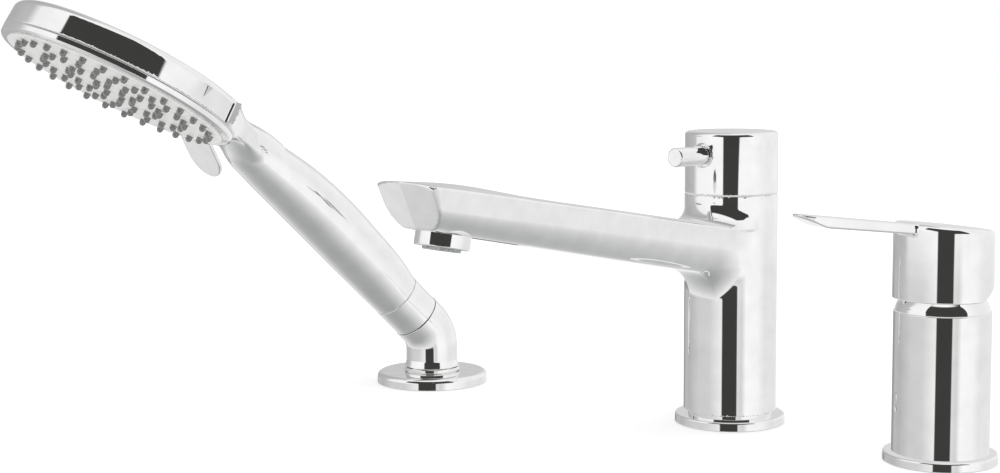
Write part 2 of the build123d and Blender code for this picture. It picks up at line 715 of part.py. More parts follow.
def make_handset():
    """Cone nut, one-piece shell of handle and head, waterway and inlet washer."""
    nut = disc(cone_nut_radius, cone_rest_gap, cone_nut_length)
    cone = Pos(0, 0, cone_rest_gap - socket_depth) * Cone(socket_floor_radius, socket_mouth_radius, socket_depth,
                                                         align=LOW)
    bore = drill(cone_bore_radius, -2 * socket_depth, recess_z + 1)
    recess = drill(waterway_radius + waterway_clearance, recess_z, handle_start + 1)
    parts["hose_cone_nut"] = nut + cone - bore - recess

    shell = handle_loft(0, handle_start) + neck_web()
    shell += head * head_solid(0, ring_height + seam_gap)
    shell -= head * head_solid(head_wall, ring_height - 1)
    shell -= head * drill(ring_radius + seam_gap, -ring_height, ring_height + seam_gap)
    bulkhead = drill(2 * ring_radius, 0, bulkhead_z)
    shell -= handle_loft(handle_wall, handle_start - 1) & bulkhead
    axis_rise = handle_stations[-1][3]
    face_way = (Vector(0, axis_rise, bulkhead_z) - head.origin).dot(head.y_dir)
    passage_end = bulkhead_z + face_way - ring_radius + 3 * head_wall + passage_radius
    shell -= Pos(0, axis_rise, 0) * drill(passage_radius, bulkhead_z - 1, passage_end)
    parts["handset_shell"] = shell

    way_start = recess_z + inlet_washer_height + washer_clearance
    way_end = bulkhead_z - waterway_clearance
    parts["handle_waterway"] = tube(waterway_radius, waterway_radius - waterway_wall, way_start, way_end - way_start)
    parts["inlet_washer"] = tube(waterway_radius, cone_bore_radius, recess_z, inlet_washer_height)


def nozzle_points():
    """Spray pattern: rings of nozzles round the middle of the face."""
    points = []
    plate_radius = ring_radius - ring_width - spray_plate_gap
    for share, count, first in zip(nozzle_ring_shares, nozzle_ring_counts, nozzle_ring_angles):
        for i in range(count):
            points.append(Vector(share * plate_radius, 0).rotate(Axis.Z, first + 360.0 * i / count))
    return points


def selector_tab():
    """Thumb tab that leaves the selector ring at a slant, with a rounded end."""
    round_z = Rot(0, 0, selector_azimuth)
    root = Pos(0, ring_radius - selector_root_depth, selector_root_z) * Rot(-selector_drop_angle, 0, 0)
    straight = selector_length - selector_tip_half
    outline = Polyline((-selector_half_width, 0), (-selector_tip_half, straight))
    outline += ThreePointArc((-selector_tip_half, straight), (0, selector_length), (selector_tip_half, straight))
    outline += Polyline((selector_tip_half, straight), (selector_half_width, 0), (-selector_half_width, 0))
    return round_z * root * Pos(0, 0, -selector_thickness) * extrude(make_face(outline), selector_thickness)


def make_head():
    """Selector ring, spray plate, nozzle sheet and the fixed carrier disc that they turn on."""
    bore = ring_radius - ring_width
    ring = turned([(bore, 0.0), (ring_radius - ring_foot_inset, 0.0), (ring_radius - 0.3, 1.2),
                   (ring_radius, ring_height), (bore, ring_height)])
    parts["selector_ring"] = head * (ring + (selector_tab() - drill(bore, -ring_height, ring_height)))
    plate_radius = bore - spray_plate_gap
    plate_top = spray_plate_thickness - spray_plate_proud
    sheet_top = plate_top + nozzle_sheet_thickness
    carrier_z = sheet_top + carrier_gap
    boss_top = carrier_z - seat_gap
    pivot_low = carrier_z - pivot_depth
    spots = nozzle_points()
    plate = drill(plate_radius, -spray_plate_proud, plate_top) + drill(pivot_boss_radius, plate_top, boss_top)
    plate -= drill(pivot_radius + running_clearance, pivot_low - seat_gap, carrier_z)
    plate -= Compound([drill(nozzle_hole_radius, -nozzle_drop, plate_top + 1, p.X, p.Y) for p in spots])
    parts["spray_plate"] = head * plate
    sheet = drill(plate_radius, plate_top, sheet_top) - drill(pivot_boss_radius + thread_clearance, 0, carrier_z)
    nubs = []
    for p in spots:
        stem = drill(nozzle_radius, nozzle_radius - nozzle_drop, plate_top + 0.2, p.X, p.Y)
        nubs.append(stem + Pos(p.X, p.Y, nozzle_radius - nozzle_drop) * Sphere(nozzle_radius))
    parts["nozzle_sheet"] = head * (sheet + nubs)
    carrier = disc(shoulder_radius - head_wall - spray_plate_gap, carrier_z, carrier_thickness)
    carrier += drill(pivot_radius, pivot_low, carrier_z)
    for i in range(carrier_port_count):
        spot = Vector(carrier_port_ring, 0).rotate(Axis.Z, 360.0 * i / carrier_port_count)
        carrier -= drill(carrier_port_radius, carrier_z - 1, carrier_z + carrier_thickness + 1, spot.X, spot.Y)
    parts["carrier_disc"] = head * carrier


def place_handset():
    """Move every handset piece from the handle's frame to its place in the holder."""
    names = ["hose_cone_nut", "handset_shell", "handle_waterway", "inlet_washer", "selector_ring", "spray_plate",
             "nozzle_sheet", "carrier_disc"]
    for name in names:
        parts[name] = holder * (handle_frame * parts[name])


make_spout_unit()
make_mixer_unit()
make_holder()
make_handset()
make_head()
place_handset()

os.makedirs("parts", exist_ok=True)
for name, solid in parts.items():
    export_step(solid, "parts/" + name + ".step")
    print(name, len(solid.solids()), round(solid.volume, 1))
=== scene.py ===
# %% [markdown]
# # A deck-mounted bath filler in polished chrome
# The object is a set of three units that stand on the deck of a bath: a hand shower in a holder, a
# fixed spout with a diverter knob, and a lever mixer. The engineering model gives every piece its
# place and size. This file gives the pieces that show their finished surfaces and materials, and
# lights them as a small product studio would.

# %% Load the engineering model
import math
import bpy
import numpy as np
from mathutils import Matrix


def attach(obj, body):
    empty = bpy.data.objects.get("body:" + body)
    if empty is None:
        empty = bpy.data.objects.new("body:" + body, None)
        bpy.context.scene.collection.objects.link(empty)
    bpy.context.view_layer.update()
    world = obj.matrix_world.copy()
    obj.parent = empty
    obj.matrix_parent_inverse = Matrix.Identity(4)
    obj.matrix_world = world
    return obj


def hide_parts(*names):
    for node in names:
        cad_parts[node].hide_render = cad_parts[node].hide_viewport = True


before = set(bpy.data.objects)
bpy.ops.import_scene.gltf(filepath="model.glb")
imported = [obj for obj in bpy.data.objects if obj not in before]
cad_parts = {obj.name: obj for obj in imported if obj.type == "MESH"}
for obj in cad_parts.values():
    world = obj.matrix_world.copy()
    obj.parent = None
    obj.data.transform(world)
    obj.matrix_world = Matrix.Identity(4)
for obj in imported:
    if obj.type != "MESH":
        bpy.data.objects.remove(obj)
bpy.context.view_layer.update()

MM = 0.001
print("nodes:", len(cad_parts))

# %% [markdown]
# ## Colour
# Finishes are written as sRGB hex values, as a colour picker shows them. Shaders work in linear
# light, so one function turns each value to linear before it reaches a node.


# %% Hex colours to linear light
def linear(hex_colour):
    """sRGB hex to linear RGBA: a channel is divided by 12.92 below 0.04045, else raised to 2.4."""
    value = hex_colour.lstrip("#")
    srgb = np.array([int(value[i:i + 2], 16) / 255.0 for i in (0, 2, 4)])
    low = srgb / 12.92
    high = ((srgb + 0.055) / 1.055) ** 2.4
    return tuple(float(c) for c in np.where(srgb <= 0.04045, low, high)) + (1.0,)


print("mid grey in linear light:", [round(c, 3) for c in linear("#808080")[:3]])

# %% [markdown]
# ## A node helper
# Every material is a small node tree. One function adds a node with its settings and its links, so
# that each recipe below reads as a list of nodes.


# %% Add one node
def add_node(tree, kind, inputs=None, **settings):
    """Add a node of a kind. Inputs maps a socket to a value, or to another node's socket."""
    node = tree.nodes.new(kind)
    for name, value in settings.items():
        setattr(node, name, value)
    for socket, value in (inputs or {}).items():
        if isinstance(value, bpy.types.NodeSocket):
            tree.links.new(value, node.inputs[socket])
        else:
            node.inputs[socket].default_value = value
    return node


def colour_ramp(tree, factor, stops):
    """Colour ramp from (position, hex colour) pairs, straight between them."""
    node = add_node(tree, "ShaderNodeValToRGB", {"Fac": factor})
    band = node.color_ramp
    band.interpolation = "LINEAR"
    band.elements.remove(band.elements[1])
    band.elements[0].position, band.elements[0].color = stops[0][0], linear(stops[0][1])
    for position, colour in stops[1:]:
        band.elements.new(position).color = linear(colour)
    return node.outputs["Color"]


print("node helper ready")

# %% [markdown]
# ## Polished chrome
# The visible castings are brass that was ground, buffed and plated with nickel and chromium. The
# plating is a mirror, so it has almost no colour of its own: what the eye reads as chrome is the
# room in it. Two small faults keep it from looking computed. Buffing leaves the surface slightly
# wavy over a few centimetres, and fingers leave patches that are a little less sharp.


# %% The chrome recipe
def plated_chrome(name, colour, waviness, wave_size_mm):
    """Mirror plating: metallic 1, a low roughness that varies, and a very shallow wave."""
    material = bpy.data.materials.new(name)
    material.use_nodes = True
    tree = material.node_tree
    tree.nodes.clear()
    place = add_node(tree, "ShaderNodeTexCoord").outputs["Object"]
    # A sphere of noise 1 / size across is one wave of that size in metres.
    wave = add_node(tree, "ShaderNodeTexNoise", {"Vector": place, "Scale": 1000.0 / wave_size_mm, "Detail": 1.0})
    smudge = add_node(tree, "ShaderNodeTexNoise", {"Vector": place, "Scale": 1000.0 / 9.0, "Detail": 4.0})
    dull = add_node(tree, "ShaderNodeMapRange", {"Value": smudge.outputs["Fac"], "From Min": 0.35, "From Max": 0.75,
                                                 "To Min": 0.025, "To Max": 0.06})
    bump = add_node(tree, "ShaderNodeBump", {"Height": wave.outputs["Fac"], "Strength": 1.0, "Distance": waviness})
    tint = colour_ramp(tree, smudge.outputs["Fac"], [(0.3, colour), (0.8, "#f0f0f0")])
    shader = add_node(tree, "ShaderNodeBsdfPrincipled", {"Base Color": tint, "Metallic": 1.0,
                                                         "Roughness": dull.outputs["Result"],
                                                         "Normal": bump.outputs["Normal"]})
    add_node(tree, "ShaderNodeOutputMaterial", {"Surface": shader.outputs["BSDF"]})
    return material


cast_chrome = plated_chrome("buffed_cast_brass_chrome", "#fbfbfb", 0.00004, 26.0)
turned_chrome = plated_chrome("turned_brass_chrome", "#fbfbfb", 0.000006, 18.0)
moulded_chrome = plated_chrome("plated_abs_chrome", "#fafafa", 0.00002, 30.0)
print("chrome finishes:", [m.name for m in (cast_chrome, turned_chrome, moulded_chrome)])

# %% [markdown]
# ## The other finishes
# The spray face is moulded plastic with soft nozzles, and under the deck there are rubber washers,
# zinc-plated steel, raw turned brass with threads, acetal cartridges and copper tube. Each has one
# pattern that is worked out from a real size, on Object coordinates.


# %% A recipe for plastics, rubber and raw metals
def plain_finish(name, light, dark, grain_mm, roughness, metallic=0.0, depth=0.0, pitch_mm=0.0, ior=1.5, coat=0.0):
    """Two close colours mixed by noise of a grain size, with a bump, and threads of a pitch if any."""
    material = bpy.data.materials.new(name)
    material.use_nodes = True
    tree = material.node_tree
    tree.nodes.clear()
    place = add_node(tree, "ShaderNodeTexCoord").outputs["Object"]
    grain = add_node(tree, "ShaderNodeTexNoise", {"Vector": place, "Scale": 1000.0 / grain_mm, "Detail": 5.0})
    colour = colour_ramp(tree, grain.outputs["Fac"], [(0.3, dark), (0.7, light)])
    rough = add_node(tree, "ShaderNodeMapRange", {"Value": grain.outputs["Fac"], "From Min": 0.3, "From Max": 0.7,
                                                  "To Min": roughness * 0.85, "To Max": roughness * 1.15})
    height = grain.outputs["Fac"]
    if pitch_mm:
        # A band wave along Z has one crest in each 2 pi / (20 scale), so the pitch sets the scale.
        thread = add_node(tree, "ShaderNodeTexWave", {"Vector": place, "Scale": 2 * math.pi / (20 * pitch_mm * MM)},
                          bands_direction="Z", wave_profile="TRI")
        height = thread.outputs["Fac"]
    bump = add_node(tree, "ShaderNodeBump", {"Height": height, "Strength": 1.0, "Distance": depth})
    inputs = {"Base Color": colour, "Metallic": metallic, "Roughness": rough.outputs["Result"],
              "Normal": bump.outputs["Normal"]}
    if not metallic:
        inputs["IOR"] = ior
    if coat:
        inputs.update({"Coat Weight": coat, "Coat IOR": 1.9, "Coat Roughness": 0.08})
    shader = add_node(tree, "ShaderNodeBsdfPrincipled", inputs)
    add_node(tree, "ShaderNodeOutputMaterial", {"Surface": shader.outputs["BSDF"]})
    return material


face_plastic = plain_finish("moulded_abs_face", "#f1f1f0", "#e8e8e7", 0.6, 0.32, depth=0.00001)
nozzle_rubber = plain_finish("silicone_nozzles", "#7b7b7a", "#686867", 0.8, 0.16, depth=0.00001, ior=1.43, coat=1.0)
black_rubber = plain_finish("black_epdm_rubber", "#2b2b2b", "#1b1b1b", 0.5, 0.75, depth=0.00005)
zinc_steel = plain_finish("zinc_plated_steel", "#c6c8c8", "#a3a7a9", 3.0, 0.34, metallic=1.0, depth=0.00001)
raw_brass = plain_finish("turned_raw_brass", "#d9b565", "#c09a4a", 4.0, 0.28, metallic=1.0, depth=0.00001)
threaded_brass = plain_finish("threaded_raw_brass", "#d9b565", "#b48f43", 4.0, 0.30, metallic=1.0, depth=0.0005,
                              pitch_mm=1.8)
cartridge_plastic = plain_finish("white_acetal", "#e4e4df", "#d6d6d0", 0.7, 0.42, depth=0.00001)
copper_tube = plain_finish("drawn_copper", "#d68c66", "#b9704c", 5.0, 0.26, metallic=1.0, depth=0.00001)
print("other finishes ready")

# %% [markdown]
# ## Finishes for the pieces that keep their engineering mesh
# Under the deck, and inside, the shapes of the engineering model are right as they are. Each gets
# the finish of the material that its slot names.

# %% Dress the engineering nodes
slot_finish = {"polished_chrome": turned_chrome, "black_rubber": black_rubber, "zinc_steel": zinc_steel,
               "raw_brass": raw_brass, "cartridge_plastic": cartridge_plastic, "copper_tube": copper_tube,
               "face_plastic": face_plastic, "nozzle_rubber": nozzle_rubber}
for node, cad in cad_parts.items():
    slot_name = cad.data.materials[0].name.split(".")[0]
    finish = threaded_brass if node.endswith("_shank") else slot_finish[slot_name]
    cad.data.materials.clear()
    cad.data.materials.append(finish)
    # What lies inside or under the deck shows in no mirror above it.
    cad.visible_glossy = False
print("dressed:", len(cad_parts))

# %% [markdown]
# ## From numbers to a mesh
# A mirror shows every facet, so each chrome piece gets a surface that is worked out from its own
# formula, with normals that come from the same formula. Two helpers put such a surface into a mesh:
# one turns a rectangular grid of points into faces, closing its seam and its poles, and one makes
# the object, which stays at the origin with its place in its mesh.


# %% Grid faces and the piece itself
def grid_faces(rows, columns, ring, poles=(False, False)):
    """Quads between neighbours of a grid that closes on itself across. A pole's row is one point."""
    index = np.arange(rows * columns).reshape(rows, columns)
    for end, pole in zip((0, -1), poles):
        if pole:
            index[end] = index[end, 0]
    below = index if ring else index[:-1]
    above = np.roll(index, -1, axis=0) if ring else index[1:]
    quads = np.stack([below, np.roll(below, -1, axis=1), np.roll(above, -1, axis=1), above], axis=-1).reshape(-1, 4)
    at_start = quads[:, 0] == quads[:, 1]
    at_end = quads[:, 2] == quads[:, 3]
    triangles = np.concatenate([quads[at_start][:, [0, 2, 3]], quads[at_end][:, [0, 1, 2]]])
    return quads[~(at_start | at_end)], triangles


def make_piece(name, points, quads, triangles, normals, finish, body, nodes=()):
    """Mesh object from points in millimetres in the object's frame, riding on a body."""
    used, place = np.unique(np.concatenate([quads.ravel(), triangles.ravel()]), return_inverse=True)
    quads = place[:quads.size].reshape(-1, 4)
    triangles = place[quads.size:].reshape(-1, 3)
    mesh = bpy.data.meshes.new(name)
    mesh.from_pydata((points[used] * MM).tolist(), [], quads.tolist() + triangles.tolist())
    mesh.polygons.foreach_set("use_smooth", np.ones(len(mesh.polygons), bool))
    mesh.normals_split_custom_set_from_vertices(normals[used])
    mesh.materials.append(finish)
    piece = bpy.data.objects.new(name, mesh)
    bpy.context.scene.collection.objects.link(piece)
    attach(piece, body)
    if nodes:
        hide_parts(*nodes)
    # Mirrors show the room and the small pieces, so that no large casting draws a streak in another.
    piece.visible_glossy = name in ("diverter_cap", "diverter_pin", "column_plinth", "shower_collar", "holder_bend",
                                    "hose_nut", "aerator_ring", "aerator_nozzle", "spray_ring", "spray_face",
                                    "spray_nozzles", "spray_tab")
    print(name, "has", len(quads), "quads and", len(triangles), "triangles")
    return piece


class Place:
    """A frame in millimetres: an origin and three directions."""

    def __init__(self, origin=(0, 0, 0), x=(1, 0, 0), y=(0, 1, 0)):
        self.origin = np.array(origin, float)
        x = np.array(x, float) / np.linalg.norm(x)
        y = np.array(y, float) - np.dot(y, x) * x
        y /= np.linalg.norm(y)
        self.axes = np.stack([x, y, np.cross(x, y)])

    def point(self, local):
        """Points given in this frame, in the frame that holds it."""
        return np.asarray(local, float) @ self.axes + self.origin

    def turn(self, local):
        """Directions given in this frame, in the frame that holds it."""
        return np.asarray(local, float) @ self.axes

    def inside(self, local_place):
        """The frame of another place that is given in this one."""
        made = Place(self.point(local_place.origin))
        made.axes = local_place.axes @ self.axes
        return made


print("mesh helpers ready")

# %% [markdown]
# ## Where things are
# The sizes below repeat the engineering model's own, in millimetres: the axes of the three units,
# the frame of the handset's handle, which leans 45 degrees back from the holder's mouth, and the
# frame of its head, whose Z axis goes from the spray face to the back.


# %% The frames of the units
def standing_place(x, y, degrees):
    """Frame that stands on the deck at (x, y), turned about the vertical."""
    angle = math.radians(degrees)
    return Place((x, y, 0.0), x=(math.cos(angle), math.sin(angle), 0), y=(-math.sin(angle), math.cos(angle), 0))


mixer_x = 121.0
spout_place = Place()
mixer_place = Place((mixer_x, 0.0, 0.0))
lever_place = standing_place(mixer_x, 0.0, -19.0)
holder_place = standing_place(-185.4, -33.0, -11.3)
lean = math.radians(45.0)
elbow_foot_z, bend_z, bend_radius, bend_run = 8.9, 19.3, 20.0, 6.2
mouth_y = -bend_radius * (1 - math.cos(lean)) - bend_run * math.sin(lean)
mouth_z = bend_z + bend_radius * math.sin(lean) + bend_run * math.cos(lean)
handle_local = Place((0, mouth_y, mouth_z), x=(1, 0, 0), y=(0, math.cos(lean), math.sin(lean)))
handle_place = holder_place.inside(handle_local)
tilt = math.radians(15.6)
head_local = Place((0, -29.6, 212.8), x=(1, 0, 0), y=(0, math.sin(tilt), -math.cos(tilt)))
head_place = handle_place.inside(head_local)
print("handle axis:", handle_place.axes[2].round(4), "head axis:", head_place.axes[2].round(4))

# %% [markdown]
# ## Turned pieces
# Flanges, rings, the sleeve of the mixer and the pin are lathe work: a profile that goes once round
# an axis. The profile is a polygon whose corners are rounded by arcs. Every point carries the
# normal of its line or arc, so a flat stays flat in the mirror right up to its rounded edge.


# %% Profiles with rounded corners
def rounded_profile(corners, steps=7):
    """Points and normals of a polygon of (radius, z, edge), each corner an arc of its edge.

    The arc starts and ends edge / tan(half the angle) from the corner, where its circle touches
    both sides. Corners go round so that the outside lies to the right of the way."""
    corner = np.array([c[:2] for c in corners], float)
    edge = np.array([c[2] for c in corners], float)
    before = np.roll(corner, 1, axis=0) - corner
    after = np.roll(corner, -1, axis=0) - corner
    before /= np.linalg.norm(before, axis=1)[:, None]
    after /= np.linalg.norm(after, axis=1)[:, None]
    half = np.arccos(np.clip((before * after).sum(1), -1, 1)) / 2
    middle = before + after
    middle /= np.linalg.norm(middle, axis=1)[:, None]
    centre = corner + middle * (edge / np.sin(half))[:, None]
    start = corner + before * (edge / np.tan(half))[:, None]
    end = corner + after * (edge / np.tan(half))[:, None]
    share = np.linspace(0, 1, steps)[None, :, None]
    ray_a = (start - centre) / edge[:, None]
    ray_b = (end - centre) / edge[:, None]
    turn = np.arccos(np.clip((ray_a * ray_b).sum(1), -1, 1))[:, None, None]
    ray = (np.sin((1 - share) * turn) * ray_a[:, None] + np.sin(share * turn) * ray_b[:, None]) / np.sin(turn)
    points = centre[:, None] + ray * edge[:, None, None]
    outside = np.stack([-before[:, 1], before[:, 0]], axis=-1)
    sign = np.sign((ray_a * outside).sum(1))[:, None, None]
    return points.reshape(-1, 2), (ray * sign).reshape(-1, 2)


def turned_piece(name, corners, place, finish, body, nodes=(), around=160):
    """The closed profile of (radius, z) goes round Z: x = r cos(a), y = r sin(a)."""
    profile, slopes = rounded_profile(corners)
    angle = np.linspace(0, 2 * np.pi, around, endpoint=False)
    spin = np.stack([np.cos(angle), np.sin(angle), np.zeros(around)], axis=-1)
    up = np.array([0, 0, 1.0])
    points = profile[:, None, :1] * spin + profile[:, None, 1:] * up
    normals = slopes[:, None, :1] * spin + slopes[:, None, 1:] * up
    quads, triangles = grid_faces(len(profile), around, ring=True)
    return make_piece(name, place.point(points.reshape(-1, 3)), quads, triangles,
                      place.turn(normals.reshape(-1, 3)), finish, body, nodes)


print("lathe ready")

# %% [markdown]
# ## Blended castings
# The spout's column and arm are one casting, and so are the handset's handle and head, and the
# mixer's cap and blade. Their joints are poured fillets that no single profile describes. Each is
# therefore a distance: a function that is negative inside and positive outside. Pieces join by a
# round union and edges are broken by a round cut. The surface is where the distance is zero.


# %% Distances and the surface where they are zero
def round_union(a, b, radius):
    """The nearer of two distances, with a fillet of the radius where both are less than it."""
    corner = np.hypot(np.maximum(radius - a, 0), np.maximum(radius - b, 0))
    return np.maximum(radius, np.minimum(a, b)) - corner


def rolled_union(a, b, alike, radius):
    """Two distances joined by the fillet that a ball leaves when it rolls along both surfaces.

    Alike is the cosine of the angle between their slopes. The ball's centre lies a radius outside
    each surface, so it is sqrt(da^2 + db^2 - 2 alike da db) / sqrt(1 - alike^2) away, where da and
    db are radius - a and radius - b. Surfaces that run nearly side by side get a thin fillet."""
    da, db = radius - a, radius - b
    away = np.sqrt(np.maximum(da ** 2 + db ** 2 - 2 * alike * da * db, 0) / (1 - alike ** 2))
    return np.where((da > alike * db) & (db > alike * da), radius - away, np.minimum(a, b))


def round_cut(a, b, radius):
    """The farther of two distances, with the shared edge rounded to the radius."""
    corner = np.hypot(np.maximum(radius + a, 0), np.maximum(radius + b, 0))
    return np.minimum(-radius, np.maximum(a, b)) + corner


def slope(distance, points, reach=0.02):
    """Gradient of the distance by central differences."""
    return np.stack([(distance(points + reach * e) - distance(points - reach * e)) / (2 * reach)
                     for e in np.eye(3)], axis=-1)


def zero_surface(distance, low, high, step):
    """Closed mesh of the points where the distance is zero.

    The space is cut into cubes. Each cube that the surface crosses gets one point, the mean of the
    crossings on its edges, moved onto the surface along the slope by distance / slope squared. Each
    cube edge that the surface crosses gets a quad of the four cubes round it."""
    low, high = np.array(low, float), np.array(high, float)
    count = np.ceil((high - low) / step).astype(int) + 1
    axis = [low[k] + step * np.arange(count[k]) for k in range(3)]
    value = distance(np.stack(np.meshgrid(*axis, indexing="ij"), axis=-1))
    inside = value < 0
    cells = count - 1
    corners = [np.array([i, j, k]) for i in (0, 1) for j in (0, 1) for k in (0, 1)]
    filled = sum(inside[o[0]:o[0] + cells[0], o[1]:o[1] + cells[1], o[2]:o[2] + cells[2]].astype(int) for o in corners)
    crossed = (filled > 0) & (filled < 8)
    number = np.full(cells, -1)
    number[crossed] = np.arange(crossed.sum())
    cell = np.argwhere(crossed)
    total, hits = np.zeros((len(cell), 3)), np.zeros((len(cell), 1))
    for k, way in enumerate(np.eye(3, dtype=int)):
        for o in corners:
            if o[k] == 0:
                a = value[tuple((cell + o).T)]
                b = value[tuple((cell + o + way).T)]
                hit = ((a < 0) != (b < 0))[:, None]
                share = (a / np.where(a == b, 1, a - b))[:, None]
                total += hit * (cell + o + share * way)
                hits += hit
    points = low + step * total / hits
    for _ in range(4):
        way = slope(distance, points)
        move = way * (distance(points) / np.maximum((way ** 2).sum(-1), 0.05))[:, None]
        size = np.linalg.norm(move, axis=1, keepdims=True)
        points -= move * np.minimum(1, 0.5 * step / np.maximum(size, 1e-9))
    quads = []
    for k in range(3):
        u, v = np.eye(3, dtype=int)[(k + 1) % 3], np.eye(3, dtype=int)[(k + 2) % 3]
        near = np.take(inside, range(count[k] - 1), axis=k)
        far = np.take(inside, range(1, count[k]), axis=k)
        edge = np.argwhere(near != far)
        four = np.stack([number[tuple((edge - o).T)] for o in (0 * u, u, u + v, v)], axis=-1)
        outward = near[tuple(edge.T)][:, None]
        quads.append(np.where(outward, four, four[:, ::-1]))
    normals = slope(distance, points)
    normals /= np.linalg.norm(normals, axis=1, keepdims=True)
    return points, np.concatenate(quads), normals


def cast_piece(name, distance, low, high, step, place, finish, body, nodes=()):
    """A piece whose surface is the zero of a distance in its own frame."""
    points, quads, normals = zero_surface(distance, low, high, step)
    none = np.zeros((0, 3), int)
    return make_piece(name, place.point(points), quads, none, place.turn(normals), finish, body, nodes)


print("castings ready")

# %% [markdown]
# ## The spout
# A round column carries a flat, slightly rising arm. Its section has a crowned top, drafted sides
# and a rounded belly, and gets a little slimmer towards the nose, which is cut by two raked facets.

# %% Sections of the arm
arm_reach = np.array([6.0, 90.0, 150.0, 190.0, 227.0])
arm_half = np.array([19.5, 19.3, 19.1, 18.9, 18.8])
arm_crown = np.array([1.7, 1.7, 1.9, 2.9, 0.1])
arm_depth = np.array([23.6, 21.6, 19.9, 18.8, 17.6])
arm_angle, nose_angle = math.radians(9.6), math.radians(24.0)
arm_rise = math.tan(arm_angle)
arm_root_z = 96.4
nose_reach, nose_setback, nose_half = 218.3, 1.8, 18.8
column_radius, column_foot_z, column_top_z = 23.0, 6.5, 115.0
seam_edge = 0.12


def through(x, known_x, known_y):
    """Smooth curve through known points: a cubic between neighbours with shared mean slopes."""
    slopes = np.gradient(known_y, known_x)
    x = np.clip(x, known_x[0], known_x[-1])
    i = np.clip(np.searchsorted(known_x, x) - 1, 0, len(known_x) - 2)
    width = known_x[i + 1] - known_x[i]
    t = (x - known_x[i]) / width
    return (known_y[i] * (1 + 2 * t) * (1 - t) ** 2 + slopes[i] * width * t * (1 - t) ** 2
            + known_y[i + 1] * t * t * (3 - 2 * t) + slopes[i + 1] * width * t * t * (t - 1))


def arm_distance(p):
    """Crowned top, drafted side, a rounded belly, and a raked nose with a crease down its middle.

    The nose's vertical corners are rounder near the top than at the belly."""
    x, reach = np.abs(p[..., 0]), -p[..., 1]
    v = p[..., 2] - arm_root_z - reach * arm_rise
    half, crown, depth = (through(reach, arm_reach, a) for a in (arm_half, arm_crown, arm_depth))
    top = (v - crown * (1 - (x / half) ** 2)) * math.cos(arm_angle)
    side = half + 1.6 * v / 9.0
    out, down = np.maximum(x - 8.0, 0), np.maximum(-v - 9.0, 0)
    away = np.hypot(out, down)
    power = 1.8
    share = ((out / np.maximum(side - 8.0, 1)) ** power + (down / (depth - 9.0)) ** power) ** (1 / power)
    belly = away * (1 - 1 / np.maximum(share, 1e-3))
    belly = np.where(share < 0.02, -9.0, belly)
    section = round_cut(top, belly, 0.9)
    crown_z = arm_root_z + 217.4 * arm_rise + 0.1
    limit = nose_reach - nose_setback * x / nose_half - (crown_z - p[..., 2]) * math.tan(nose_angle)
    nose = (reach - limit) * math.cos(nose_angle)
    soft = 0.7 + 2.8 * np.clip(x / nose_half, 0, 1) ** 4 * np.clip((v + 13.0) / 12.0, 0, 1)
    return round_cut(round_cut(section, nose, soft), 6.0 - reach, 0.5)


def spout_distance(p):
    """Column and arm, joined by a fillet of 9 above, 17 below and up to 21 more where they run alike.

    Alike is the cosine of the angle between the directions in which the two distances grow. The
    fillet shrinks to nothing between 8 and 4 in front of the column's axis, where the arm ends."""
    y, z = p[..., 1], p[..., 2]
    across = np.hypot(p[..., 0], y)
    column = round_cut(across - column_radius, np.maximum(z - column_top_z, column_foot_z - z), seam_edge)
    arm = arm_distance(p)
    way = np.stack([arm_distance(p + 0.1 * e) - arm for e in np.eye(3)], axis=-1)
    outward = (way[..., :2] * p[..., :2]).sum(-1) / np.maximum(across, 1.0)
    alike = np.clip(outward / np.maximum(np.linalg.norm(way, axis=-1), 1e-9), -0.3, 0.985)
    below = np.clip((arm_root_z + 2.0 - z) / 18.0, 0, 1)
    front = np.clip((-y - 4.0) / 4.0, 0.02, 1)
    radius = (9.0 + 8.0 * below + 21.0 * np.maximum(alike, 0) ** 2) * front ** 2 * (3 - 2 * front)
    return rolled_union(column, arm, alike, radius)


cast_piece("spout_casting", spout_distance, (-25, -222, 4), (25, 26, 136), 0.8, spout_place, cast_chrome,
           "deck_units", ["spout_body"])


# %% [markdown]
# The column stands on a flange and a plinth ring, each turned on its own. A shadow line shows
# between them because every edge of a turned piece is broken by a small round.

# %% Flanges, plinth and collar
def flange(name, radius, height, edge, place, node):
    """A low disc with a rounded upper edge, open in the middle for the shank."""
    corners = [(14.0, 0.0, 0.3), (radius, 0.0, 0.3), (radius, height, edge), (14.0, height, 0.3)]
    return turned_piece(name, corners, place, turned_chrome, "deck_units", [node])


flange("spout_base_flange", 27.3, 4.5, 0.9, spout_place, "spout_flange")
flange("mixer_base_flange", 25.7, 4.3, 0.9, mixer_place, "mixer_flange")
flange("shower_base_flange", 30.5, 6.2, 2.4, holder_place, "shower_flange")
turned_piece("column_plinth", [(15.0, 4.5, 0.1), (20.8, 4.5, 0.1), (20.8, 6.5, 0.1), (15.0, 6.5, 0.1)], spout_place,
             turned_chrome, "deck_units", ["spout_plinth_ring"])
turned_piece("shower_collar", [(11.2, 6.2, 0.1), (13.7, 6.2, 0.1), (13.7, 6.8, 0.05), (15.3, 6.8, 0.15),
                               (15.3, 8.6, 0.35), (11.2, 8.6, 0.2)], holder_place, turned_chrome, "deck_units",
             ["holder_collar"])

# %% [markdown]
# The diverter knob is a cap of the column's own diameter. Its pin leaves through a collared recess
# in the wall, so the knob is a casting with a round pocket, and the pin is a turned bar.


# %% Knob and pin
knob_foot_z, knob_top_z, pin_z = 115.5, 145.7, 134.6
pocket_radius, pocket_floor = 5.7, 20.9


def knob_distance(p):
    """A short cylinder with a rounded top edge, less a round pocket on the side of the pin."""
    x, y, z = p[..., 0], p[..., 1], p[..., 2]
    wall = np.hypot(x, y) - column_radius
    body = round_cut(round_cut(wall, z - knob_top_z, 2.0), knob_foot_z - z, seam_edge)
    pocket = np.maximum(np.hypot(x, z - pin_z) - pocket_radius, y + pocket_floor)
    return round_cut(body, -pocket, 0.35)


